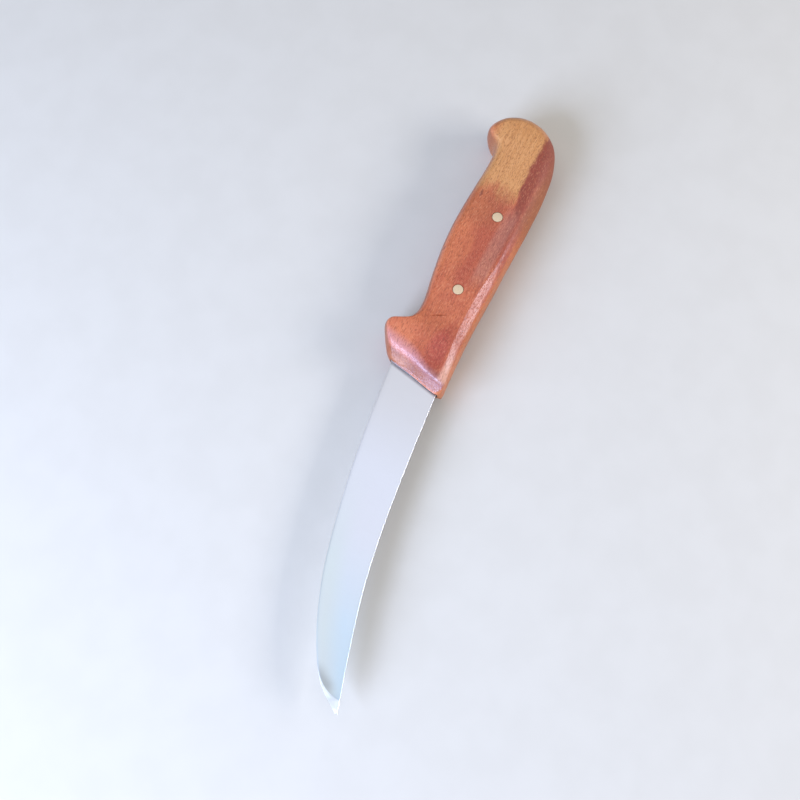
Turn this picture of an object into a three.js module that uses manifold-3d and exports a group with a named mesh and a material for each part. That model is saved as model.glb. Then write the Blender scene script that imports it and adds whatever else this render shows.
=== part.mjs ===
// Curved boning knife with a 13 cm blade and a one-piece hardwood handle.
//
// Millimetres. The knife lies on its left side: +X runs from the butt to the tip, +Y from the
// cutting edge to the back, +Z from the left side to the right side. It is drawn about the
// point where the blade's back leaves the wood, with z = 0 in the middle of its thickness,
// and the whole group is then set down with its origin under the middle of its box.
import * as THREE from "three";
import { LoftGeometry } from "three/addons/geometries/LoftGeometry.js";
import { mergeVertices } from "three/addons/utils/BufferGeometryUtils.js";
import Module from "manifold-3d";

// Blade: a flat-ground blade whose steel runs on inside the handle as a tang.
const BLADE_BACK = [[0, -0.5], [30, 2.4], [60, 6.1], [85, 10.7], [110, 17.4], [130.4, 23.7]];
const BLADE_EDGE = [[-5, -23.7], [20, -20.6], [50, -15.7], [80, -8.7], [100, -1.5], [115, 6.3],
  [124, 13.2], [130.6, 22.6]];
const BACK_THICKNESS = 2.0;
const TIP_THICKNESS = 1.0;
const BACK_ROUNDING = 0.25;
const BEVEL_WIDTH = 1.1;
const BEVEL_SHARE = 0.3; // of the blade's width, the most that the bevel takes at the tip
const BEVEL_THICKNESS = 0.4;
const EDGE_GROWTH = 2; // a larger blade's edge moves out by this many times its growth
const BLADE_STEPS = 56;

// Tang: full blade width for a short shoulder, then a narrow tapering stick.
const FRONT_LEAN = 0.217; // the front of the wood leans by this much X for each mm of Y
const SHOULDER = 2.6;
const TANG_BACK = -4.6;
const TANG_BELLY = -20.0;
const TANG_END = -94;
const TANG_END_BACK = -8.2;
const TANG_END_BELLY = -16.2;
const TANG_CORNER = 2;
const TANG_OVERLAP = SHOULDER / 4; // the tang's slab stops this far behind the front

// Handle: plan outline as [x, y, width of the rounding there], from the back of the guard
// round the belly and the butt hook to the back again.
const HANDLE_OUTLINE = [
  [-0.1, -1.0, 0.9], [-3.2, -14.5, 0.9], [-5.4, -24.4, 1.0], [-7.6, -27.1, 2.0],
  [-10.6, -29.3, 2.6], [-14.6, -31.8, 3.0], [-18.2, -33.6, 3.0], [-20.3, -33.1, 2.6],
  [-22.2, -29.5, 2.6], [-24.4, -26.2, 3.0], [-27.7, -24.4, 3.4], [-34.0, -24.0, 3.8],
  [-48.7, -26.5, 4.4], [-62.0, -28.4, 4.6], [-76.0, -29.2, 4.8], [-92.0, -28.8, 4.8],
  [-105.5, -28.2, 4.6], [-112.0, -28.6, 4.6], [-116.0, -30.1, 4.6], [-118.5, -33.5, 4.8],
  [-121.6, -35.6, 5.2], [-125.2, -34.9, 5.8], [-130.4, -31.4, 6.4], [-133.9, -25.4, 6.8],
  [-134.6, -19.0, 6.8], [-132.6, -12.0, 7.0], [-127.3, -5.5, 8.0], [-117.5, -1.2, 8.0],
  [-104.0, 0.8, 7.6], [-86.0, 1.3, 7.2], [-58.0, 0.8, 6.0], [-40.0, 0.6, 6.0],
  [-25.0, 0.7, 4.6], [-9.0, 1.3, 2.9], [-2.6, 1.6, 1.8], [-0.6, 0.8, 1.0],
];
const OUTLINE_STEPS = 130;
const CENTRE_FRONT = [-14, -13];
const CENTRE_REAR = [-116, -16];
const ROUNDING_STEPS = 5;
const FACE_FRACTIONS = [0.3, 0.6, 0.8]; // rings across the face, from its rounding inwards

// Half thickness of the handle, as stations [distance behind the front, half thickness].
const HALF_THICKNESS = 10;
const NOSE = [0, 3.0];
const RIDGE = [5.8, 9.4]; // the nose rises to it along a parabola
const HOLLOW = [27, 8.8];
const PALM = [46, HALF_THICKNESS];
const TAPER = [112, HALF_THICKNESS];
const BUTT = [136, 9.0];

// Pins, and the resin that beds the tang.
const PIN_RADIUS = 2.25;
const PIN_PLACES = { front_pin: [-43.6, -12.2], rear_pin: [-81.4, -12.2] };
const PIN_RECESS = 0.05;
const PIN_SIDES = 36;
const MORTISE_THICKNESS = 3.4;
const MORTISE_MARGIN = 0.7;
const GAP = 0.1; // clearance between neighbouring pieces
const MORTISE_LEAD = SHOULDER * 3; // the mortise is cut from this far in front of the wood
const BEDDING_RECESS = 0.2;
const THROUGH = 30; // longer than the handle is thick
const MERGE_TOLERANCE = 1e-4;

const WOOD = new THREE.MeshStandardMaterial({ color: 0xb86a4c, roughness: 0.45, metalness: 0 });
const STEEL = new THREE.MeshStandardMaterial({ color: 0xdadce2, roughness: 0.3, metalness: 1 });
const PIN_METAL = new THREE.MeshStandardMaterial({ color: 0xe6d0b0, roughness: 0.4, metalness: 1 });
const RESIN = new THREE.MeshStandardMaterial({ color: 0x6b5f58, roughness: 0.6, metalness: 0 });

const wasm = await Module();
wasm.setup();

function solid(geometry) {
  const bare = new THREE.BufferGeometry();
  bare.setAttribute("position", geometry.getAttribute("position"));
  bare.setIndex(geometry.index);
  const merged = mergeVertices(bare, MERGE_TOLERANCE);
  return new wasm.Manifold(new wasm.Mesh({
    numProp: 3,
    vertProperties: merged.attributes.position.array,
    triVerts: new Uint32Array(merged.index.array),
  }));
}

function node(name, made, material) {
  const mesh = made.getMesh();
  const geometry = new THREE.BufferGeometry();
  geometry.setAttribute("position", new THREE.BufferAttribute(mesh.vertProperties, 3));
  geometry.setIndex(new THREE.BufferAttribute(mesh.triVerts, 1));
  geometry.computeVertexNormals();
  const result = new THREE.Mesh(geometry, material);
  result.name = name;
  return result;
}

const planCurve = (points) => new THREE.SplineCurve(points.map(([x, y]) => new THREE.Vector2(x, y)));

// A slab of a plan shape, centred on the middle of the knife's thickness.
function slab(shape, thickness) {
  const geometry = new THREE.ExtrudeGeometry(shape, { depth: thickness, bevelEnabled: false });
  return solid(geometry.translate(0, 0, -thickness / 2));
}

// The ground blade, from the shoulder to the tip, made larger all round by grow.
function groundBlade(grow) {
  const back = planCurve(BLADE_BACK);
  const edge = planCurve(BLADE_EDGE);
  const sections = [];
  for (let i = -1; i <= BLADE_STEPS; i++) {
    const u = Math.max(i, 0) / BLADE_STEPS;
    const high = back.getPointAt(u);
    const low = edge.getPointAt(u);
    if (i < 0) {
      high.x -= SHOULDER / 2;
      low.x -= SHOULDER / 2;
    }
    const across = low.clone().sub(high).normalize();
    const width = low.distanceTo(high);
    const bevel = Math.min(BEVEL_WIDTH, width * BEVEL_SHARE);
    const half = THREE.MathUtils.lerp(BACK_THICKNESS, TIP_THICKNESS, u) / 2;
    const point = (along, z) => {
      const p = high.clone().addScaledVector(across, along);
      return new THREE.Vector3(p.x, p.y, z);
    };
    const flank = [
      [-grow, half - BACK_ROUNDING + grow],
      [BACK_ROUNDING, half + grow],
      [width - bevel, BEVEL_THICKNESS / 2 + grow],
    ];
    sections.push([
      ...flank.map(([along, z]) => point(along, z)),
      point(width + EDGE_GROWTH * grow, 0),
      ...flank.toReversed().map(([along, z]) => point(along, -z)),
    ]);
  }
  return solid(new LoftGeometry(sections, { capStart: true, capEnd: true }));
}

// Plan shape of the tang with a margin all round, starting this far in front of the wood.
function tangShape(margin, front) {
  const backY = BLADE_BACK[0][1] + margin;
  const edgeY = BLADE_EDGE[0][1] - margin;
  const lean = (y) => FRONT_LEAN * (y - BLADE_BACK[0][1]);
  const shoulder = (y) => lean(y) - SHOULDER - margin;
  const round = TANG_CORNER;
  const shape = new THREE.Shape();
  shape.moveTo(lean(backY) + front, backY);
  shape.lineTo(shoulder(backY), backY);
  shape.lineTo(shoulder(TANG_BACK), TANG_BACK + margin + round);
  shape.quadraticCurveTo(shoulder(TANG_BACK), TANG_BACK + margin,
    shoulder(TANG_BACK) - round, TANG_BACK + margin);
  shape.lineTo(TANG_END + round, TANG_END_BACK + margin);
  shape.quadraticCurveTo(TANG_END - margin, TANG_END_BACK + margin,
    TANG_END - margin, TANG_END_BACK - round);
  shape.lineTo(TANG_END - margin, TANG_END_BELLY + round);
  shape.quadraticCurveTo(TANG_END - margin, TANG_END_BELLY - margin,
    TANG_END + round, TANG_END_BELLY - margin);
  shape.lineTo(shoulder(TANG_BELLY) - round, TANG_BELLY - margin);
  shape.quadraticCurveTo(shoulder(TANG_BELLY), TANG_BELLY - margin,
    shoulder(TANG_BELLY), TANG_BELLY - margin - round);
  shape.lineTo(shoulder(edgeY), edgeY);
  shape.lineTo(lean(edgeY) + front, edgeY);
  shape.closePath();
  return shape;
}

function bladeSolid(grow) {
  const tang = slab(tangShape(grow, -TANG_OVERLAP), BACK_THICKNESS + 2 * grow);
  return groundBlade(grow).add(tang);
}

// Half thickness of the handle over a point of its plan.
function halfThickness(x, y) {
  const behind = FRONT_LEAN * (y - BLADE_BACK[0][1]) - x;
  const ease = (from, to) => THREE.MathUtils.lerp(from[1], to[1],
    THREE.MathUtils.smoothstep(behind, from[0], to[0]));
  if (behind < RIDGE[0]) {
    const left = 1 - Math.max(behind, 0) / RIDGE[0];
    return THREE.MathUtils.lerp(RIDGE[1], NOSE[1], left ** 2);
  }
  if (behind < HOLLOW[0]) return ease(RIDGE, HOLLOW);
  if (behind < PALM[0]) return ease(HOLLOW, PALM);
  return ease(TAPER, BUTT);
}

// The carved handle: rings that follow the outline, rise over its rounding and then close
// in across the face towards a line down the middle of the handle.
function handleBody() {
  const points = HANDLE_OUTLINE.map((p) => new THREE.Vector3(...p)).reverse();
  const outline = new THREE.CatmullRomCurve3(points, true).getSpacedPoints(OUTLINE_STEPS);
  outline.pop();
  const middle = new THREE.Line3(new THREE.Vector3(...CENTRE_FRONT, 0),
    new THREE.Vector3(...CENTRE_REAR, 0));
  const ring = (roundingAngle, faceFraction, side) => outline.map((p) => {
    const rim = new THREE.Vector3(p.x, p.y, 0);
    const centre = middle.closestPointToPoint(rim, true, new THREE.Vector3());
    const reach = rim.distanceTo(centre);
    const rounding = p.z * (1 - Math.cos(roundingAngle));
    const inwards = rounding + faceFraction * (reach - p.z);
    const place = rim.lerp(centre, inwards / reach);
    place.z = side * halfThickness(place.x, place.y) * Math.sin(roundingAngle);
    return place;
  });
  const upper = [];
  for (let i = 1; i <= ROUNDING_STEPS; i++) {
    upper.push([Math.PI / 2 * i / ROUNDING_STEPS, 0]);
  }
  for (const fraction of FACE_FRACTIONS) upper.push([Math.PI / 2, fraction]);
  const sections = [
    ...upper.toReversed().map(([angle, fraction]) => ring(angle, fraction, -1)),
    ring(0, 0, 0),
    ...upper.map(([angle, fraction]) => ring(angle, fraction, 1)),
  ];
  return solid(new LoftGeometry(sections, { capStart: true, capEnd: true }));
}

function cylinder(radius, length, [x, y]) {
  const geometry = new THREE.CylinderGeometry(radius, radius, length, PIN_SIDES);
  return solid(geometry.rotateX(Math.PI / 2).translate(x, y, 0));
}

const places = Object.values(PIN_PLACES);
const drill = (made) => places.reduce(
  (rest, place) => rest.subtract(cylinder(PIN_RADIUS + GAP, THROUGH, place)), made);

const mortise = slab(tangShape(MORTISE_MARGIN, MORTISE_LEAD), MORTISE_THICKNESS);
const body = handleBody();
const filling = slab(tangShape(MORTISE_MARGIN - GAP, 0), MORTISE_THICKNESS - 2 * GAP)
  .intersect(body.translate([-BEDDING_RECESS, 0, 0]));

const knife = new THREE.Group();
knife.add(node("blade", drill(bladeSolid(0)), STEEL));
knife.add(node("handle", drill(body.subtract(mortise)), WOOD));
knife.add(node("tang_bedding", drill(filling.subtract(bladeSolid(GAP))), RESIN));
for (const [name, place] of Object.entries(PIN_PLACES)) {
  const length = 2 * (halfThickness(...place) - PIN_RECESS);
  knife.add(node(name, cylinder(PIN_RADIUS, length, place), PIN_METAL));
}

const box = new THREE.Box3().setFromObject(knife);
const centre = box.getCenter(new THREE.Vector3());
knife.position.set(-centre.x, -centre.y, -box.min.z);

export default knife;
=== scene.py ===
"""Curved boning knife, lying on its side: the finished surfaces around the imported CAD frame.

The knife is described in millimetres about the point where the blade's back leaves the wood:
x towards the tip, y towards the back of the knife, z from its left side to its right side,
zero in the middle of its thickness. place() turns that into the frame's metres.
"""

import math

import bmesh
import bpy
import numpy as np
from mathutils import Matrix, Vector


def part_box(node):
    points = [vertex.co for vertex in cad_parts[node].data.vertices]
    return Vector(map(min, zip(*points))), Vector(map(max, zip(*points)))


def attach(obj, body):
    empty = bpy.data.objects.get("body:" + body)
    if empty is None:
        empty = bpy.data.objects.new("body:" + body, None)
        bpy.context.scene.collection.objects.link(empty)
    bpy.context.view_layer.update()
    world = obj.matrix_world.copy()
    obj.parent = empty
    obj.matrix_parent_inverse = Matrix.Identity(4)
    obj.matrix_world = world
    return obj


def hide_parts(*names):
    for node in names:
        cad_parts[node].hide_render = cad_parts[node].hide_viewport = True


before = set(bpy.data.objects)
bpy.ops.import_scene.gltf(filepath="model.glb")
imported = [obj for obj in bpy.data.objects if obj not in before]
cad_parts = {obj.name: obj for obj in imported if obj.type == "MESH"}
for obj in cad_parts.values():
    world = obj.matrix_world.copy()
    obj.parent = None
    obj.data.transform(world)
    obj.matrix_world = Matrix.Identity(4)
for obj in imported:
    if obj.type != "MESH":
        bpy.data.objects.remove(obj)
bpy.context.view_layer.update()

MM = 0.001

# Blade, as in the CAD model
BLADE_BACK = [(0, -0.5), (30, 2.4), (60, 6.1), (85, 10.7), (110, 17.4), (130.4, 23.7)]
BLADE_EDGE = [(-5, -23.7), (20, -20.6), (50, -15.7), (80, -8.7), (100, -1.5), (115, 6.3),
              (124, 13.2), (130.6, 22.6)]
BACK_THICKNESS = 2.0
TIP_THICKNESS = 1.0
BEVEL_THICKNESS = 0.4
BEVEL_WIDTH = 0.9
WIDEST_BEVEL = 0.92             # as a share of the blade's width
TIP_ARC = (109.7, 22.3, 16.0)   # near the tip the bevel reaches in to this circle: x, y, radius
TIP_BLEND = 1.5                 # the bevel takes its form at the tip while it gets this much wider
TIP_SHOULDER = 0.85             # share of the thickness where the bevel starts at the tip
BACK_ROUNDING = 0.12            # radius of the corners along the back
FLANK_BULGE = 0.03              # how far the broad faces swell in their middle
EDGE_BLUNTNESS = 0.02           # half the thickness that is left at the edge
BLADE_STEPS = 240
FLANK_STEPS = 12
ARC_SCAN_STEPS = 200            # for where a line leaves the tip's circle

# Tang and the slot that it sits in
FRONT_LEAN = 0.217
SHOULDER = 2.6
TANG_BACK, TANG_BELLY = -4.6, -20.0
TANG_END, TANG_END_BACK, TANG_END_BELLY = -94.0, -8.2, -16.2
TANG_ROUND = 2.0
SLOT_MARGIN = 0.7
SLOT_THICKNESS = 3.4

# Handle outline: x, y and the width of the rounding there
HANDLE_OUTLINE = [
    (-0.1, -1.0, 0.9), (-3.2, -14.5, 0.9), (-5.4, -24.4, 1.0), (-7.6, -27.1, 2.0),
    (-10.6, -29.3, 2.6), (-14.6, -31.8, 3.0), (-18.2, -33.6, 3.0), (-20.3, -33.1, 2.6),
    (-22.2, -29.5, 2.4), (-24.4, -26.2, 3.0), (-27.7, -24.4, 3.4), (-34.0, -24.0, 3.8),
    (-48.7, -26.5, 4.4), (-62.0, -28.4, 4.6), (-76.0, -29.2, 4.8), (-92.0, -28.8, 4.8),
    (-105.5, -28.2, 4.4), (-112.0, -28.6, 4.0), (-116.0, -30.1, 3.6), (-118.5, -33.5, 3.6),
    (-121.6, -35.6, 4.0), (-125.2, -34.9, 4.6), (-130.4, -31.4, 5.6), (-133.9, -25.4, 6.4),
    (-134.6, -19.0, 6.8), (-132.6, -12.0, 7.0), (-127.3, -5.5, 8.0), (-117.5, -1.2, 8.0),
    (-104.0, 0.8, 7.4), (-86.0, 1.3, 6.2), (-58.0, 0.8, 3.9), (-48.0, 0.65, 4.6),
    (-38.0, 0.6, 5.0), (-25.0, 0.7, 4.6), (-9.0, 1.3, 3.2), (-2.6, 1.6, 2.3), (-0.6, 0.8, 1.0),
]
CENTRE_FRONT = (-14.0, -13.0)
CENTRE_REAR = (-116.0, -16.0)
HALF_THICKNESS = 10.0
NOSE_BLEND = 0.5         # height over which the bevel turns into the sloping front
CROWN = 0.35             # how far the broad faces fall from their middle to their rounding
BEVELLED_CROWN = 0.4     # share of that fall that is left beside the bevel along the back

# Pins
PIN_RADIUS = 2.25
PIN_PLACES = {"front_pin": (-43.6, -12.2), "rear_pin": (-81.4, -12.2)}
PIN_GAP = 0.14
PIN_DEPTH = 0.03         # of the middle of a pin's end below the handle's half thickness there
PIN_DOME = 0.05
PIN_CHAMFER = 0.12
PIN_SIDES = 96
HOLE_SIDES = 72

# Angles in degrees from which an edge is shown sharp
SHARP_ANGLE = 35
BLADE_SHARP_ANGLE = 20
HANDLE_SHARP_ANGLE = 40

pin_low, pin_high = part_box("front_pin")
ORIGIN = (pin_low + pin_high) / 2 - Vector((*PIN_PLACES["front_pin"], 0)) * MM


def place(x, y, z):
    return ORIGIN + Vector((x, y, z)) * MM


# ---------------------------------------------------------------- curves

def smoothstep(value, low, high):
    t = np.clip((np.asarray(value, float) - low) / (high - low), 0, 1)
    return t * t * (3 - 2 * t)


def hermite(p1, p2, m1, m2, t):
    t = t[:, None]
    return ((2 * t**3 - 3 * t**2 + 1) * p1 + (t**3 - 2 * t**2 + t) * m1
            + (3 * t**2 - 2 * t**3) * p2 + (t**3 - t**2) * m2)


def closed_spline(points, per_span=40):
    """Centripetal Catmull-Rom curve through all the points and back to the first."""
    p = np.array(points, float)
    n = len(p)
    t = np.arange(per_span) / per_span
    spans = []
    for i in range(n):
        a, b, c, d = p[i - 1], p[i], p[(i + 1) % n], p[(i + 2) % n]
        ab, bc, cd = (math.sqrt(np.linalg.norm(v)) for v in (b - a, c - b, d - c))
        m1 = ((b - a) / ab - (c - a) / (ab + bc) + (c - b) / bc) * bc
        m2 = ((c - b) / bc - (d - b) / (bc + cd) + (d - c) / cd) * bc
        spans.append(hermite(b, c, m1, m2, t))
    return np.concatenate(spans)


def open_spline(points, per_span=60):
    """Catmull-Rom curve through the points, with its ends' tangents one-sided."""
    p = np.array(points, float)
    n = len(p)
    t = np.arange(per_span) / per_span
    spans = []
    for i in range(n - 1):
        before, after = p[max(i - 1, 0)], p[min(i + 2, n - 1)]
        spans.append(hermite(p[i], p[i + 1], (p[i + 1] - before) / 2, (after - p[i]) / 2, t))
    return np.concatenate(spans + [p[-1:]])


def resample(points, count, ends=True):
    """count points spaced evenly along a polyline; without ends, both end points are left out."""
    steps = np.linalg.norm(np.diff(points[:, :2], axis=0), axis=1)
    along = np.concatenate([[0], np.cumsum(steps)])
    wanted = np.linspace(0, along[-1], count if ends else count + 2)
    if not ends:
        wanted = wanted[1:-1]
    return np.stack([np.interp(wanted, along, column) for column in points.T], -1)


def circle(centre, radius, sides):
    angles = np.linspace(0, 2 * math.pi, sides, endpoint=False)
    return [(centre[0] + radius * math.cos(a), centre[1] + radius * math.sin(a)) for a in angles]


def bend(start, corner, end, steps=6):
    """Points of the rounded corner from start to end."""
    t = np.linspace(0, 1, steps)[:, None]
    a, b, c = (np.array(p, float) for p in (start, corner, end))
    return [tuple(p) for p in (1 - t)**2 * a + 2 * t * (1 - t) * b + t**2 * c]


# ---------------------------------------------------------------- mesh helpers

def mesh_object(name, vertices, faces, weld=0.0):
    """An object from points in the knife's millimetres; points closer than weld become one."""
    mesh = bpy.data.meshes.new(name)
    mesh.from_pydata([tuple(place(*v)) for v in vertices], [], faces)
    bm = bmesh.new()
    bm.from_mesh(mesh)
    if weld:
        bmesh.ops.remove_doubles(bm, verts=bm.verts, dist=weld * MM)
    bmesh.ops.dissolve_degenerate(bm, edges=bm.edges, dist=1e-7)
    bmesh.ops.recalc_face_normals(bm, faces=bm.faces)
    bm.to_mesh(mesh)
    bm.free()
    obj = bpy.data.objects.new(name, mesh)
    bpy.context.scene.collection.objects.link(obj)
    shade(obj, SHARP_ANGLE)
    return obj


def shade(obj, angle):
    obj.data.shade_smooth()
    obj.data.set_sharp_from_angle(angle=math.radians(angle))


def tube(rings, cap=True):
    """Vertices and quads of a skin through rings that all have the same number of points."""
    rings = [np.asarray(r, float) for r in rings]
    n = len(rings[0])
    faces = []
    for i in range(len(rings) - 1):
        for j in range(n):
            k = (j + 1) % n
            faces.append((i * n + j, i * n + k, (i + 1) * n + k, (i + 1) * n + j))
    if cap:
        faces.append(tuple(reversed(range(n))))
        faces.append(tuple(range((len(rings) - 1) * n, len(rings) * n)))
    return np.concatenate(rings), faces


def prism(name, outline, half):
    """A slab of a plan outline, from -half to half in z."""
    rings = [[(x, y, z) for x, y in outline] for z in (-half, half)]
    vertices, faces = tube(rings)
    return mesh_object(name, vertices, faces)


def combine(obj, cutter, operation):
    """Joins or cuts obj with cutter, and throws the cutter away."""
    modifier = obj.modifiers.new("combine", "BOOLEAN")
    modifier.operation = operation
    modifier.solver = "EXACT"
    modifier.object = cutter
    bpy.context.view_layer.update()
    made = bpy.data.meshes.new_from_object(obj.evaluated_get(bpy.context.evaluated_depsgraph_get()))
    obj.modifiers.remove(modifier)
    old = obj.data
    obj.data = made
    made.name = old.name + "_cut"
    bpy.data.meshes.remove(old)
    bpy.data.objects.remove(cutter)


def drill_for_pins(obj, half):
    for name, centre in PIN_PLACES.items():
        hole = circle(centre, PIN_RADIUS + PIN_GAP, HOLE_SIDES)
        combine(obj, prism(name, hole, half), "DIFFERENCE")


# ---------------------------------------------------------------- tang

def front_line(y):
    """x of the front of the wood at this height of the blade."""
    return FRONT_LEAN * (y - BLADE_BACK[0][1])


def tang_outline(margin, front):
    """The tang's outline made larger by a margin, and reaching in front of the wood by front."""
    back_y = BLADE_BACK[0][1] + margin
    edge_y = BLADE_EDGE[0][1] - margin
    r = TANG_ROUND

    def shoulder(y):
        return front_line(y) - SHOULDER - margin

    high, low = TANG_BACK + margin, TANG_BELLY - margin
    end, end_high, end_low = TANG_END - margin, TANG_END_BACK + margin, TANG_END_BELLY - margin
    points = [(front_line(back_y) + front, back_y), (shoulder(back_y), back_y)]
    points += bend((shoulder(TANG_BACK), high + r), (shoulder(TANG_BACK), high),
                   (shoulder(TANG_BACK) - r, high))
    points += bend((end + r, end_high), (end, end_high), (end, end_high - r))
    points += bend((end, end_low + r), (end, end_low), (end + r, end_low))
    points += bend((shoulder(TANG_BELLY) - r, low), (shoulder(TANG_BELLY), low),
                   (shoulder(TANG_BELLY), low - r))
    points += [(shoulder(edge_y), edge_y), (front_line(edge_y) + front, edge_y)]
    return points


# ---------------------------------------------------------------- blade

def bevel_width(high, across, width):
    """Width of the bevel on the line that runs across from a point of the back to the edge."""
    bevel = BEVEL_WIDTH
    if high[0] > TIP_ARC[0]:
        steps = np.linspace(0, width, ARC_SCAN_STEPS)
        line = high + across * steps[:, None]
        inside = steps[np.hypot(line[:, 0] - TIP_ARC[0], line[:, 1] - TIP_ARC[1]) < TIP_ARC[2]]
        bevel = max(bevel, width - (inside[-1] if len(inside) else 0))
    return min(bevel, width * WIDEST_BEVEL)


def blade_flank(width, half, bevel, tip):
    """One side of the blade's section, from the middle of its back to the edge: (across, z).

    tip is 0 along the blade and 1 where the bevel has taken its form at the tip.
    """
    corner = min(BACK_ROUNDING, half * 0.3)
    points = [(0, half - corner)]
    for angle in np.radians([20, 45, 70]):
        points.append((corner * (1 - math.cos(angle)), half - corner * (1 - math.sin(angle))))
    points.append((corner, half))
    start, stop = corner, max(width - bevel, corner * 1.2)
    shoulder = BEVEL_THICKNESS / 2 + (half * TIP_SHOULDER - BEVEL_THICKNESS / 2) * tip
    for t in np.linspace(0, 1, FLANK_STEPS)[1:]:
        bulge = FLANK_BULGE * math.sin(math.pi * t) * (1 - tip)
        points.append((start + (stop - start) * t, half + (shoulder - half) * t + bulge))
    for t in (0.5, 0.97):
        points.append((stop + (width - stop) * t, shoulder * (1 - t) + EDGE_BLUNTNESS))
    return points


def blade_ring(high, low, share):
    """The blade's section from a point of its back to one of its edge, a share of the way along."""
    width = np.linalg.norm(low - high)
    across = (low - high) / width
    half = (BACK_THICKNESS + (TIP_THICKNESS - BACK_THICKNESS) * share) / 2
    bevel = bevel_width(high, across, width)
    tip = float(smoothstep(bevel, BEVEL_WIDTH, BEVEL_WIDTH + TIP_BLEND))
    flank = blade_flank(width, half, bevel, tip)
    return [(*(high + across * a), z) for a, z in flank + [(a, -z) for a, z in reversed(flank)]]


def blade_piece():
    """The blade, whose first section is repeated a little way into the wood, with its tang."""
    back = resample(open_spline(BLADE_BACK), BLADE_STEPS)
    edge = resample(open_spline(BLADE_EDGE), BLADE_STEPS)
    into_wood = (-SHOULDER / 2, 0)
    rings = [blade_ring(back[0] + into_wood, edge[0] + into_wood, 0)]
    for i in range(BLADE_STEPS):
        rings.append(blade_ring(back[i], edge[i], i / (BLADE_STEPS - 1)))
    vertices, faces = tube(rings)
    blade = mesh_object("blade_steel", vertices, faces)
    tang = prism("tang_cutter", tang_outline(0, -SHOULDER / 4), BACK_THICKNESS / 2)
    combine(blade, tang, "UNION")
    drill_for_pins(blade, BACK_THICKNESS)
    shade(blade, BLADE_SHARP_ANGLE)
    return blade


# ---------------------------------------------------------------- handle

# Half thickness of the handle: distance behind the front, then half thickness there
NOSE = (0.0, 3.0)        # a plain slope runs back from the nose,
TURN = 4.0               # and turns over from here
RIDGE = (10.0, 9.2)      # to level out at the ridge
RIDGE_LEAN = 0.44        # share by which the ridge is nearer the front at the back of the handle
LEAN_SPAN = (-20, -2)    # y over which that share grows from nothing
CREST = (19.0, 9.5)
VALLEY = (28.5, 8.75)
PALM = (46.0, HALF_THICKNESS)
TAPER = (112.0, HALF_THICKNESS)
BUTT = (136.0, 9.0)
HOLLOW_DEPTH = 0.8       # of the scoop beside the front end of the back bevel
HOLLOW_PLACE = (-13.0, -8.5)
HOLLOW_REACH = (10.0, 6.0)

# The back's bevel, in the rounding's place: angles of the rounding in right angles, the share of
# its width that the bevel has reached there, and up to its start, the share of its start's height
BEVEL_ANGLES = (0, 0.3, 0.42, 0.54, 0.94, 1.0)
BEVEL_REACH = (0, 0.05, 0.18, 0.38, 0.95, 1.0)
BEVEL_FOOT = (0, 0.72, 0.90, 1.0)
BEVEL_TOP = 0.985        # share of the height where the bevel ends
BEVEL_SLOPE = 0.70
BEVEL_FADE = (-72, -50)    # x over which the rounding turns into the bevel
BEVEL_STOP = (-1.8, -0.5)  # x over which it turns into the rounding again, at the front
BACK_SIDE = (-3.0, -0.5)   # y over which the outline becomes the back

# Rings of the handle: right angles of its rounding, then shares of the way to its middle
ROUNDING_STEPS = (0.1, 0.2, 0.3, 0.38, 0.46, 0.54, 0.62, 0.7, 0.78, 0.86, 0.92, 0.96, 1.0)
FACE_STEPS = (0.02, 0.05, 0.08, 0.11, 0.14, 0.17, 0.2, 0.23, 0.26, 0.29, 0.32, 0.35, 0.38, 0.42,
              0.47, 0.53, 0.6, 0.68, 0.76, 0.84, 0.92, 1.0)
COLUMNS_ALONG = 130
COLUMNS_REAR = 96
COLUMNS_FRONT = 110


def nose_cut(x, y):
    """How much lower than the ridge the sloping front of the guard is.

    The slope is even up to TURN, and from there it fades as a square.
    """
    nearer = 1 - RIDGE_LEAN * smoothstep(y, *LEAN_SPAN)
    behind = np.clip((front_line(y) - x) / nearer, 0, RIDGE[0])
    turn = RIDGE[0] - TURN
    left = np.clip((RIDGE[0] - behind) / turn, 0, 1)
    climbed = np.minimum(behind, TURN) + turn / 3 * (1 - left**3)
    return (RIDGE[1] - NOSE[1]) * (1 - climbed / (TURN + turn / 3))


def hollow(x, y):
    """1 in the middle of the hollow, falling smoothly to 0 at its rim."""
    across, up = ((v - middle) / reach
                  for v, middle, reach in zip((x, y), HOLLOW_PLACE, HOLLOW_REACH))
    t = np.clip(np.hypot(across, up), 0, 1)
    return (1 - t * t)**2


def half_thickness(x, y):
    """Half the handle's thickness at a place in its plan, before its rounding and its crown."""
    behind = front_line(y) - x
    height = RIDGE[1] - nose_cut(x, y)
    for low, high in ((RIDGE, CREST), (CREST, VALLEY), (VALLEY, PALM), (TAPER, BUTT)):
        height = height + (high[1] - low[1]) * smoothstep(behind, low[0], high[0])
    return height - HOLLOW_DEPTH * hollow(x, y) * smoothstep(behind, TURN / 2, RIDGE[0])


def soft_minimum(a, b, blend):
    """The lower of a and b, with the corner between them rounded over a height of blend."""
    t = np.clip(0.5 + (b - a) / (2 * np.maximum(blend, 1e-6)), 0, 1)
    return b + (a - b) * t - blend * t * (1 - t)


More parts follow.
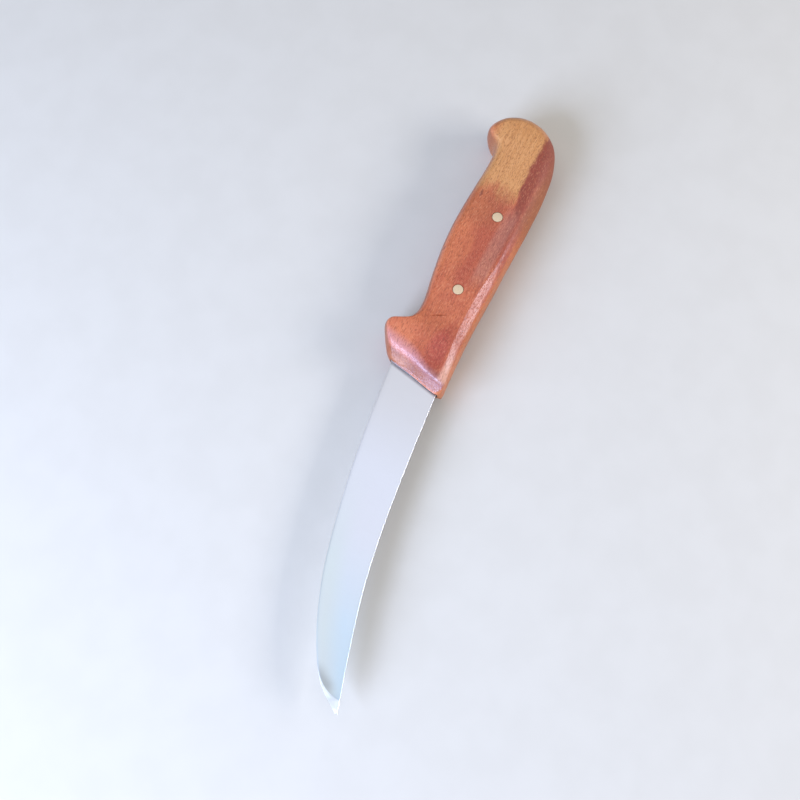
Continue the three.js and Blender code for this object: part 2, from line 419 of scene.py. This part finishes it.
def handle_columns():
    """The rim points of the handle, each with its rounding width and the point it closes in on."""
    rim = closed_spline(HANDLE_OUTLINE)
    front_x, rear_x = CENTRE_FRONT[0], CENTRE_REAR[0]
    rearmost = int(np.argmin(rim[:, 0]))

    def crossing(x, low, high):
        part = rim[low:high, 0] - x
        return low + int(np.nonzero(part[:-1] * part[1:] <= 0)[0][0])

    belly_front = crossing(front_x, 0, rearmost)
    belly_rear = crossing(rear_x, 0, rearmost)
    back_rear = crossing(rear_x, rearmost, len(rim))
    back_front = crossing(front_x, rearmost, len(rim))
    stations = np.linspace(front_x, rear_x, COLUMNS_ALONG)
    mid_y = np.interp(stations, [rear_x, front_x], [CENTRE_REAR[1], CENTRE_FRONT[1]])

    def at_stations(part, xs):
        order = np.argsort(part[:, 0])
        return np.stack([xs, *(np.interp(xs, part[order, 0], part[order, k]) for k in (1, 2))], -1)

    belly = at_stations(rim[belly_front - 1:belly_rear + 3], stations)
    back = at_stations(rim[back_rear - 2:back_front + 3], stations[::-1])
    around_rear = np.concatenate([belly[-1:], rim[belly_rear + 2:back_rear - 1], back[:1]])
    around_front = np.concatenate([back[-1:], rim[back_front + 2:], rim[:belly_front - 1], belly[:1]])
    rear = resample(around_rear, COLUMNS_REAR, ends=False)
    front = resample(around_front, COLUMNS_FRONT, ends=False)
    columns = np.concatenate([belly, rear, back, front])
    centres = np.concatenate([
        np.stack([stations, mid_y], -1),
        np.tile(CENTRE_REAR, (len(rear), 1)),
        np.stack([stations, mid_y], -1)[::-1],
        np.tile(CENTRE_FRONT, (len(front), 1)),
    ])
    return columns, centres


def bevel_profile(q, start):
    """The bevel's width and height, as shares, for q right angles; start is where it starts."""
    heights = [*(share * start for share in BEVEL_FOOT), BEVEL_TOP, 1.0]
    i = min(int(np.searchsorted(BEVEL_ANGLES, q, side="right")), len(BEVEL_ANGLES) - 1)
    t = (q - BEVEL_ANGLES[i - 1]) / (BEVEL_ANGLES[i] - BEVEL_ANGLES[i - 1])
    height = heights[i - 1] + (heights[i] - heights[i - 1]) * t
    return float(np.interp(q, BEVEL_ANGLES, BEVEL_REACH)), height


def handle_rings():
    """Rings around the handle, from the middle of its left face over its rim to the right one."""
    columns, centres = handle_columns()
    rim, rounding = columns[:, :2], columns[:, 2]
    inward = centres - rim
    reach = np.linalg.norm(inward, axis=1)
    inward /= reach[:, None]
    bevelled = smoothstep(rim[:, 1], *BACK_SIDE) * smoothstep(rim[:, 0], *BEVEL_FADE)
    bevelled *= 1 - smoothstep(rim[:, 0], *BEVEL_STOP)
    start = BEVEL_TOP - (BEVEL_REACH[4] - BEVEL_REACH[3]) * rounding * BEVEL_SLOPE / RIDGE[1]

    def ring(q, fraction, side):
        angle = math.pi / 2 * q
        smooth_d, smooth_z = 1 - math.cos(angle), math.sin(angle)
        sharp_d, sharp_z = bevel_profile(q, start)
        d = rounding * (smooth_d + (sharp_d - smooth_d) * bevelled) + fraction * (reach - rounding)
        z = smooth_z + (sharp_z - smooth_z) * bevelled
        at = rim + inward * d[:, None]
        fall = CROWN * (1 - fraction)**2 * (1 - (1 - BEVELLED_CROWN) * bevelled)
        full = half_thickness(at[:, 0], at[:, 1]) - fall
        cut = nose_cut(at[:, 0], at[:, 1])
        carved = soft_minimum((full + cut) * z, full, NOSE_BLEND * smoothstep(cut, 0, 1))
        height = full * z + (carved - full * z) * bevelled
        return np.column_stack([at, side * height])

    steps = [(q, 0) for q in ROUNDING_STEPS] + [(1.0, fraction) for fraction in FACE_STEPS]
    left = [ring(q, fraction, -1) for q, fraction in reversed(steps)]
    right = [ring(q, fraction, 1) for q, fraction in steps]
    return [*left, ring(0, 0, 0), *right]


def handle_piece():
    """The handle with its slot, pin holes and nick; its columns are welded where they meet."""
    vertices, faces = tube(handle_rings(), cap=False)
    handle = mesh_object("handle_wood", vertices, faces, weld=0.002)
    slot = prism("slot_cutter", tang_outline(SLOT_MARGIN, SHOULDER * 3), SLOT_THICKNESS / 2)
    combine(handle, slot, "DIFFERENCE")
    drill_for_pins(handle, HALF_THICKNESS * 1.5)
    combine(handle, nick_cutter(), "DIFFERENCE")
    shade(handle, HANDLE_SHARP_ANGLE)
    return handle


NICK_ENDS = ((-27.9, -17.7), (-31.6, -10.9))
NICK_HALF_WIDTH = 0.36
NICK_DEPTH = 0.6


def nick_cutter():
    """A slim spindle that leaves a short cut across the right face, behind the guard."""
    start, end = (np.array(p) for p in NICK_ENDS)
    along = (end - start) / np.linalg.norm(end - start)
    side = np.array([-along[1], along[0]])
    rings = []
    for t in np.linspace(0.02, 0.98, 12):
        swell = math.sin(math.pi * t)
        centre = start + (end - start) * t
        top = float(half_thickness(*centre))
        ring = []
        for angle in np.linspace(0, 2 * math.pi, 10, endpoint=False):
            at = centre + side * NICK_HALF_WIDTH * swell * math.cos(angle)
            ring.append((*at, top + NICK_DEPTH * swell * math.sin(angle)))
        rings.append(ring)
    vertices, faces = tube(rings)
    return mesh_object("nick_cutter", vertices, faces)


# ---------------------------------------------------------------- pins

def pin_piece(name, centre):
    top = float(half_thickness(*centre)) - PIN_DEPTH
    rim = top - PIN_DOME
    profile = [(PIN_RADIUS * t, top - PIN_DOME * t * t) for t in (0.15, 0.35, 0.55, 0.75, 0.9)]
    profile += [
        (PIN_RADIUS - PIN_CHAMFER, rim),
        (PIN_RADIUS - PIN_CHAMFER * 0.35, rim - PIN_CHAMFER * 0.3),
        (PIN_RADIUS, rim - PIN_CHAMFER),
        (PIN_RADIUS, top * 0.5),
        (PIN_RADIUS, 0),
    ]
    profile += [(r, -z) for r, z in reversed(profile[:-1])]
    rings = [[(x, y, z) for x, y in circle(centre, r, PIN_SIDES)] for r, z in profile]
    vertices, faces = tube(rings)
    return mesh_object(name + "_brass", vertices, faces)


# ---------------------------------------------------------------- materials

class Nodes:
    """Short names for the few nodes that the materials below are made of.

    at, x and y are the shading point in the knife's millimetres, from_middle is its distance
    from the middle of the knife's thickness, and upright is 1 on surfaces that face left or right.
    """

    def __init__(self, name):
        self.material = bpy.data.materials.new(name)
        self.material.use_nodes = True
        self.tree = self.material.node_tree
        self.shader = self.tree.nodes["Principled BSDF"]
        coordinates = self.tree.nodes.new("ShaderNodeTexCoord")
        self.position = coordinates.outputs["Object"]
        self.at = self.mapped(self.position, (1 / MM, 1 / MM, 1 / MM), shift=tuple(-ORIGIN / MM))
        self.x, self.y, z = self.split(self.at)
        self.from_middle = self.math("ABSOLUTE", z)
        self.upright = self.math("ABSOLUTE", self.split(coordinates.outputs["Normal"])[2])

    def link(self, source, socket):
        if isinstance(source, bpy.types.NodeSocket):
            self.tree.links.new(source, socket)
        else:
            socket.default_value = source

    def math(self, operation, a, b=0.0):
        node = self.tree.nodes.new("ShaderNodeMath")
        node.operation = operation
        for socket, value in zip(node.inputs, (a, b)):
            self.link(value, socket)
        return node.outputs[0]

    def fold(self, operation, first, *others):
        """One operation over two or more values, from the first to the last."""
        for other in others:
            first = self.math(operation, first, other)
        return first

    def ramp(self, value, low, high, start=0.0, end=1.0):
        """value from low..high smoothly to start..end, held at both ends."""
        node = self.tree.nodes.new("ShaderNodeMapRange")
        node.interpolation_type = "SMOOTHSTEP"
        for socket, v in zip(node.inputs, (value, low, high, start, end)):
            self.link(v, socket)
        return node.outputs[0]

    def mapped(self, vector, scale, turn=(0, 0, 0), shift=(0, 0, 0)):
        """The vector scaled, then turned, then shifted."""
        node = self.tree.nodes.new("ShaderNodeMapping")
        node.inputs["Scale"].default_value = scale
        node.inputs["Rotation"].default_value = turn
        node.inputs["Location"].default_value = shift
        self.link(vector, node.inputs["Vector"])
        return node.outputs[0]

    def noise(self, scale, detail=2.0, roughness=0.5, turn=(0, 0, 0), vector=None):
        """Noise over the knife's millimetres, or over another vector."""
        vector = self.at if vector is None else vector
        node = self.tree.nodes.new("ShaderNodeTexNoise")
        node.inputs["Scale"].default_value = 1.0
        node.inputs["Detail"].default_value = detail
        node.inputs["Roughness"].default_value = roughness
        self.link(self.mapped(vector, scale, turn), node.inputs["Vector"])
        return node.outputs["Fac"]

    def split(self, vector):
        node = self.tree.nodes.new("ShaderNodeSeparateXYZ")
        self.link(vector, node.inputs[0])
        return node.outputs

    def mix(self, factor, a, b):
        node = self.tree.nodes.new("ShaderNodeMix")
        node.data_type = "RGBA"
        self.link(factor, node.inputs[0])
        for socket, value in ((node.inputs[6], a), (node.inputs[7], b)):
            self.link(value if isinstance(value, bpy.types.NodeSocket) else (*value, 1.0), socket)
        return node.outputs[2]

    def tint(self, base, colour, *ramps, strength=1.0):
        """base turned to a colour by the product of ramps, each given as what ramp() takes."""
        factors = [self.ramp(*limits) for limits in ramps]
        return self.mix(self.fold("MULTIPLY", *factors, strength), base, colour)

    def oval(self, middle, half):
        """Squared distance from an oval's middle, 1 at its half width and half height."""
        across = self.math("DIVIDE", self.math("SUBTRACT", self.x, middle[0]), half[0])
        up = self.math("DIVIDE", self.math("SUBTRACT", self.y, middle[1]), half[1])
        squares = [self.math("MULTIPLY", v, v) for v in (across, up)]
        return self.math("ADD", *squares)

    def behind_front(self):
        """Distance behind the line where the blade leaves the wood, which is front_line()."""
        rise = self.math("SUBTRACT", self.y, BLADE_BACK[0][1])
        return self.math("SUBTRACT", self.math("MULTIPLY", rise, FRONT_LEAN), self.x)

    def bump(self, height, strength, depth, normal=None):
        """A relief of a depth in millimetres, over another one where normal is given."""
        node = self.tree.nodes.new("ShaderNodeBump")
        node.inputs["Strength"].default_value = strength
        node.inputs["Distance"].default_value = depth * MM
        self.link(height, node.inputs["Height"])
        if normal is not None:
            self.link(normal, node.inputs["Normal"])
        return node.outputs[0]

    def surface(self, colour, roughness, normal=None):
        """The material, with its colour, its roughness and, where given, its relief."""
        self.link(colour, self.shader.inputs["Base Color"])
        self.link(roughness, self.shader.inputs["Roughness"])
        if normal is not None:
            self.link(normal, self.shader.inputs["Normal"])
        return self.material


# ---------------------------------------------------------------- wood

RED = (0.43, 0.082, 0.034)
LIGHT_RED = (0.53, 0.132, 0.048)
FIBRE_RED = (0.34, 0.055, 0.026)
DEEP_RED_SHADE = (0.38, 0.050, 0.034)
BELLY_LIT_ORANGE = (0.62, 0.170, 0.060)
GUARD_ORANGE = (0.70, 0.200, 0.090)
SIDE_ORANGE = (0.52, 0.135, 0.026)
SIDE_REAR = (0.34, 0.095, 0.020)
SIDE_BELLY_SHADE = (0.23, 0.058, 0.018)
GUARD_BACK = (0.62, 0.185, 0.060)
SLOPE_BELLY = (0.56, 0.215, 0.100)
SLOPE_BACK = (0.22, 0.084, 0.070)
BEVEL_END_HIGHLIGHT = (0.72, 0.36, 0.25)
RIDGE_LILAC_HIGHLIGHT = (0.52, 0.24, 0.25)
STRIP_ORANGE = (0.30, 0.085, 0.018)
TAN = (0.66, 0.310, 0.110)
TAN_FIBRE = (0.55, 0.230, 0.070)
TAN_RIM = (0.52, 0.180, 0.060)
HOOK_RIM = (0.30, 0.080, 0.024)
DARK_RED = (0.25, 0.044, 0.020)
PIN_BROWN = (0.30, 0.080, 0.026)
MAUVE_SHEEN = (0.41, 0.150, 0.098)
KNOT_BROWN = (0.16, 0.035, 0.02)
PORE_BROWN = (0.17, 0.045, 0.018)
FLECK_TAN = (0.74, 0.36, 0.18)

# Ovals: the middle, then half the width and half the height
HOLLOW_SHADE_OVAL = ((-16.0, -8.0), (12.0, 6.0))
KNOT_OVALS = (((-88.8, -23.4), (2.2, 0.8)), ((-59.0, -26.3), (1.4, 0.6)))
WAVE_SIZE = (22, 3)     # how far the sapwood's limit wanders along the handle and across it
JAG_SIZE = (8, 3)       # and how ragged it is


def red_wood(n, fibres, blotch):
    """Blotchy red wood with darker fibres, and a deeper red, partly painted shade, by the back
    bevel's front end.
    """
    red = n.tint(RED, LIGHT_RED, (blotch, 0.36, 0.66))
    red = n.tint(red, FIBRE_RED, (fibres, 0.38, 0.68), strength=0.38)
    # deeper red in the hollow beside the back bevel: partly darker wood, partly painted shade
    return n.tint(red, DEEP_RED_SHADE, (n.oval(*HOLLOW_SHADE_OVAL), 1.1, 0.1), strength=0.6)


def orange_rim(n, red, blotch):
    """The belly, the guard and the handle's sides, more orange or browner than its face; partly
    painted light and shade at the belly.
    """
    # lighter orange towards the belly: partly the wood's own colour, partly painted light
    red = n.tint(red, BELLY_LIT_ORANGE, (n.y, -14, -25), (blotch, 0.3, 0.6, 0.55, 1.0), strength=0.7)
    red = n.tint(red, GUARD_ORANGE, (n.y, -11, -25), (n.x, -26, -12), strength=0.7)
    side = n.tint(SIDE_ORANGE, SIDE_REAR, (n.x, -80, -105))
    # sides darker towards the belly: partly the wood's own colour, partly painted shade
    side = n.tint(side, SIDE_BELLY_SHADE, (n.y, -10, -20))
    side = n.tint(side, GUARD_BACK, (n.x, -28, -12), (n.y, -2.5, -0.5), (n.upright, 0.5, 0.2))
    return n.tint(red, side, (n.from_middle, 7.6, 5.8), strength=0.8)


def guard_front(n, red):
    """The guard's slopes, and painted highlights, partly paler wood, on the bevel's front end and in
    lilac along the ridge.
    """
    on_faces = (n.upright, 0.2, 0.5)
    slope = n.tint(SLOPE_BELLY, SLOPE_BACK, (n.y, -20, -13))
    red = n.tint(red, slope, (n.x, -9.0, -5.0), on_faces, strength=0.65)
    # painted highlight on the front end of the back bevel, partly the wood's own paler colour
    red = n.tint(red, BEVEL_END_HIGHLIGHT, (n.x, -22, -10), (n.x, -2.6, -5.0), (n.y, -3.2, -1.2),
                 (n.from_middle, 6.0, 7.4), strength=0.9)
    # painted lilac highlight along the guard's ridge, partly the wood's own colour
    nearer = n.ramp(n.y, *LEAN_SPAN, 1.0, 1 - RIDGE_LEAN)
    behind = n.math("DIVIDE", n.behind_front(), nearer)
    return n.tint(red, RIDGE_LILAC_HIGHLIGHT, (behind, 3.0, 6.5), (behind, 11.0, 6.5),
                  (n.y, -2.5, -13, 0.35, 1.0), on_faces, strength=0.6)


def butt_wood(n, red, fibres, ragged):
    """Pale sapwood on the face of the butt, with dark heartwood between it and the back."""
    colour = n.tint(red, STRIP_ORANGE, (n.y, -4.5, -1.5), (n.x, -70, -88), strength=0.8)
    wander = n.noise((0.06, 0.14, 0.14), detail=4, roughness=0.6)
    wave = n.math("SUBTRACT", wander, 0.5)
    jag = n.math("SUBTRACT", ragged, 0.5)

    def ragged_limit(coordinate, wave_size, jag_size):
        waved = n.math("ADD", coordinate, n.math("MULTIPLY", wave, wave_size))
        return n.math("ADD", waved, n.math("MULTIPLY", jag, jag_size))

    limit_x = ragged_limit(n.x, WAVE_SIZE[0], JAG_SIZE[0])
    limit_y = ragged_limit(n.y, WAVE_SIZE[1], JAG_SIZE[1])

    tan = n.tint(TAN, TAN_FIBRE, (fibres, 0.3, 0.7))
    rim = n.tint(TAN_RIM, HOOK_RIM, (n.y, -16, -28))
    tan = n.tint(tan, rim, (n.from_middle, 9.3, 6.0), strength=0.75)
    colour = n.tint(colour, tan, (limit_x, -88, -98), (limit_y, -8.2, -9.8),
                    (n.y, -28.5, -34.0, 1.0, 0.25))

    inner_y = n.math("SUBTRACT", limit_y, n.ramp(n.x, -103, -84, 0, 2.6))
    at_back = n.ramp(n.x, -100, -115, 0.1, 0.7)
    return n.tint(colour, DARK_RED, (inner_y, -10.6, -8.8), (limit_y, -1.5, -4.5, at_back, 1.0),
                  (n.x, -50, -90), (ragged, 0.25, 0.6, 0.7, 1.0), strength=0.92)


def patches(n, colour):
    """Browner wood around the rear pin, a painted mauve sheen between pins and back, and two small
    knots.
    """
    colour = n.tint(colour, PIN_BROWN, (n.x, -70, -80), (n.x, -99, -89), (n.y, -9, -13),
                    strength=0.35)
    # painted mauve sheen between the pins and the back
    colour = n.tint(colour, MAUVE_SHEEN, (n.x, -45, -56), (n.x, -92, -80), (n.y, -11, -8.5),
                    (n.y, -3.0, -5.0), strength=0.6)
    for knot in KNOT_OVALS:
        colour = n.tint(colour, KNOT_BROWN, (n.oval(*knot), 1.0, 0.1), strength=0.6)
    return colour


def wood_material():
    n = Nodes("oiled_hardwood")
    fibres = n.noise((0.06, 0.9, 0.9), detail=5, roughness=0.65)
    blotch = n.noise((0.05, 0.12, 0.12), detail=3, roughness=0.55)
    ragged = n.noise((0.30, 0.9, 0.9), detail=4, roughness=0.7)
    colour = red_wood(n, fibres, blotch)
    colour = orange_rim(n, colour, blotch)
    colour = guard_front(n, colour)
    colour = butt_wood(n, colour, fibres, ragged)
    colour = patches(n, colour)

    # pores: short dark dashes along the grain, and paler flecks between them
    dashes = n.noise((0.65, 2.6, 2.6), roughness=0.6)
    pores = n.ramp(dashes, 0.54, 0.63)
    pore_strength = n.ramp(n.x, -85, -20, 0.42, 0.46)
    colour = n.mix(n.math("MULTIPLY", pores, pore_strength), colour, PORE_BROWN)
    colour = n.tint(colour, FLECK_TAN, (dashes, 0.45, 0.33), strength=0.26)

    # the back of the butt is duller than the rest
    dull = n.fold("MULTIPLY", n.ramp(n.x, -60, -84), n.ramp(n.y, -12, -5), 0.26)
    roughness = n.math("ADD", n.ramp(fibres, 0.2, 0.8, 0.28, 0.38), dull)
    n.shader.inputs["Specular IOR Level"].default_value = 0.6
    n.shader.inputs["Specular Tint"].default_value = (0.80, 0.88, 1.0, 1.0)
    carving = n.noise((0.10, 0.22, 0.22))
    normal = n.bump(carving, strength=0.4, depth=0.5)
    normal = n.bump(fibres, strength=0.3, depth=0.10, normal=normal)
    normal = n.bump(n.math("SUBTRACT", 1.0, pores), strength=0.5, depth=0.08, normal=normal)
    return n.surface(colour, roughness, normal)


# ---------------------------------------------------------------- steel, brass, resin and floor

HEEL_STEEL = (0.74, 0.73, 0.76)
MIDDLE_STEEL = (0.82, 0.84, 0.93)
TIP_SKY_REFLECTION = (0.68, 0.85, 0.98)
EDGE_STEEL = (0.76, 0.84, 0.86)
SCRATCH_STEEL = (0.76, 0.77, 0.80)
CLOUD_STEEL = (0.77, 0.79, 0.85)
JOINT_SHADOW_STEEL = (0.38, 0.37, 0.41)
SHADE_STEEL = (0.50, 0.53, 0.53)
POLISHED_HIGHLIGHT_STEEL = (0.97, 1.0, 1.0)
SIDEWAYS_DARK_REFLECTION = (0.36, 0.38, 0.39)

BRASS = (0.86, 0.66, 0.44)
PALE_BRASS = (0.96, 0.77, 0.54)
RESIN = (0.22, 0.19, 0.175)
PALE_RESIN = (0.31, 0.27, 0.25)
FLOOR = (0.60, 0.565, 0.50)
PALE_FLOOR = (0.615, 0.58, 0.515)

EDGE_START = (50, -15.7)   # from here to the tip the edge is near to a parabola
EDGE_SLOPE = 0.143
EDGE_CURVE = 0.003


def above_edge(n):
    """How far the shading point is above the edge, in y."""
    along = n.math("SUBTRACT", n.x, EDGE_START[0])
    slope = n.math("ADD", n.math("MULTIPLY", along, EDGE_CURVE), EDGE_SLOPE)
    rise = n.math("MULTIPLY", slope, along)
    return n.fold("SUBTRACT", n.y, EDGE_START[1], rise)


def steel_material():
    n = Nodes("satin_ground_steel")
    scratches = n.noise((9.0, 0.25, 0.25), detail=3, roughness=0.65, turn=(0, 0, 0.12))
    cloud = n.noise((0.06, 0.06, 0.06))

    # partly painted reflection of the sky: greyer at the heel, bluer towards the tip, and less blue
    # there on the side by the edge
    grey = n.tint(HEEL_STEEL, MIDDLE_STEEL, (n.x, 0, 45))
    grey = n.tint(grey, TIP_SKY_REFLECTION, (n.x, 60, 116))
    grey = n.tint(grey, EDGE_STEEL, (n.x, 35, 90), (above_edge(n), 12, 2))
    grey = n.tint(grey, SCRATCH_STEEL, (scratches, 0.3, 0.7), strength=0.16)
    grey = n.tint(grey, CLOUD_STEEL, (cloud, 0.35, 0.65), strength=0.14)

    # painted shadow: a dark strip on the blade where blade and wood meet
    grey = n.tint(grey, JOINT_SHADOW_STEEL, (n.behind_front(), -1.4, -0.3), strength=0.75)

    # painted highlight on the polished bevel at the tip, outside its circle, and painted shade inside
    # the circle beside it
    from_centre = n.math("SQRT", n.oval(TIP_ARC[:2], (1, 1)))
    grey = n.tint(grey, SHADE_STEEL, (from_centre, 10.5, 15.6), (n.x, 115, 122),
                  (n.y, 20.5, 15.0, 0.1, 1.0), strength=0.9)
    grey = n.tint(grey, POLISHED_HIGHLIGHT_STEEL, (from_centre, TIP_ARC[2] - 0.2, TIP_ARC[2] + 0.2),
                  (n.x, 117, 120))
    # painted dark reflection on faces that turn away from the flats, such as the rounding along the
    # back
    grey = n.tint(grey, SIDEWAYS_DARK_REFLECTION, (n.upright, 0.75, 0.35))

    n.shader.inputs["Metallic"].default_value = 1.0
    roughness = n.ramp(scratches, 0.2, 0.8, 0.27, 0.37)
    return n.surface(grey, roughness, n.bump(scratches, strength=0.25, depth=0.03))


def brass_material():
    n = Nodes("filed_pin_metal")
    filed = n.noise((1.2, 14.0, 1.0), roughness=0.6, turn=(0, 0, 0.6))
    tone = n.tint(BRASS, PALE_BRASS, (filed, 0.3, 0.7))
    n.shader.inputs["Metallic"].default_value = 1.0
    roughness = n.ramp(filed, 0.2, 0.8, 0.35, 0.5)
    return n.surface(tone, roughness, n.bump(filed, strength=0.3, depth=0.04))


def resin_material():
    n = Nodes("bedding_resin")
    grain = n.noise((2.0, 2.0, 2.0), detail=3)
    tone = n.tint(RESIN, PALE_RESIN, (grain, 0.3, 0.7))
    roughness = n.ramp(grain, 0.2, 0.8, 0.45, 0.65)
    return n.surface(tone, roughness, n.bump(grain, strength=0.4, depth=0.1))


def floor_material():
    n = Nodes("pale_floor")
    speckle = n.noise((60, 60, 60), vector=n.position)
    tone = n.tint(FLOOR, PALE_FLOOR, (speckle, 0.3, 0.7))
    return n.surface(tone, 0.8)


# ---------------------------------------------------------------- the knife

def dress(piece, material, node):
    piece.data.materials.clear()
    piece.data.materials.append(material)
    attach(piece, "root")
    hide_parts(node)


brass = brass_material()
dress(blade_piece(), steel_material(), "blade")
dress(handle_piece(), wood_material(), "handle")
for pin_name, pin_centre in PIN_PLACES.items():
    dress(pin_piece(pin_name, pin_centre), brass, pin_name)
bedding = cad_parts["tang_bedding"]
bedding.data.materials.clear()
bedding.data.materials.append(resin_material())


# ---------------------------------------------------------------- floor, light and camera

FLOOR_HALF = 1.5                  # in metres
SKY_COLOUR = (0.93, 0.96, 1.0, 1)
SKY_STRENGTH = 0.38

# Lamps: name, direction from the knife, distance and size in metres, radiance, colour
LAMPS = [
    ("overhead", (-0.22, -0.12, 0.97), 1.2, (1.3, 1.0), 0.64, (0.94, 0.97, 1.05)),
    ("tip_side", (0.79, -0.40, 0.46), 0.9, (0.6, 0.5), 13.5, (0.72, 0.88, 1.28)),
    ("back_side", (-0.32, 0.85, 0.42), 0.9, (0.6, 0.26), 12.0, (0.95, 0.95, 1.02)),
]

CAMERA_PLACE = (133.3, 52.0)      # over the knife's plan, in millimetres about its origin
CAMERA_HEIGHT = 443.9             # above the floor
CAMERA_ELEVATION = 72.0
CAMERA_RIGHT = (-0.4599, 0.8880)
LENS = 49.5
SENSOR_WIDTH = 36.0


def make_floor():
    outline = [(-1, -1), (1, -1), (1, 1), (-1, 1)]
    mesh = bpy.data.meshes.new("floor")
    mesh.from_pydata([(x * FLOOR_HALF, y * FLOOR_HALF, 0) for x, y in outline], [], [(0, 1, 2, 3)])
    floor = bpy.data.objects.new("floor", mesh)
    bpy.context.scene.collection.objects.link(floor)
    mesh.materials.append(floor_material())


def soft_light(name, direction, distance, size, radiance, colour):
    """A rectangular lamp that faces the knife from a direction, with a given brightness."""
    data = bpy.data.lights.new(name, "AREA")
    data.shape = "RECTANGLE"
    data.size, data.size_y = size
    data.energy = radiance * math.pi * size[0] * size[1]
    data.color = colour
    lamp = bpy.data.objects.new(name, data)
    towards = Vector(direction).normalized()
    lamp.location = ORIGIN + towards * distance
    lamp.rotation_euler = towards.to_track_quat("Z", "Y").to_euler()
    bpy.context.scene.collection.objects.link(lamp)


def make_light():
    world = bpy.data.worlds.new("soft_sky")
    world.use_nodes = True
    background = world.node_tree.nodes["Background"]
    background.inputs["Color"].default_value = SKY_COLOUR
    background.inputs["Strength"].default_value = SKY_STRENGTH
    bpy.context.scene.world = world
    for lamp in LAMPS:
        soft_light(*lamp)
    bpy.context.scene.view_settings.view_transform = "Standard"


def make_camera():
    data = bpy.data.cameras.new("camera")
    data.lens = LENS
    data.sensor_width = SENSOR_WIDTH
    camera = bpy.data.objects.new("camera", data)
    right = Vector((*CAMERA_RIGHT, 0)).normalized()
    level = Vector((0, 0, 1)).cross(right)
    tilt = math.radians(CAMERA_ELEVATION)
    forward = level * math.cos(tilt) - Vector((0, 0, 1)) * math.sin(tilt)
    up = right.cross(forward)
    turn = Matrix((right, up, -forward)).transposed().to_4x4()
    spot = place(*CAMERA_PLACE, 0)
    spot.z = CAMERA_HEIGHT * MM
    camera.matrix_world = Matrix.Translation(spot) @ turn
    bpy.context.scene.collection.objects.link(camera)
    bpy.context.scene.camera = camera


make_floor()
make_light()
make_camera()
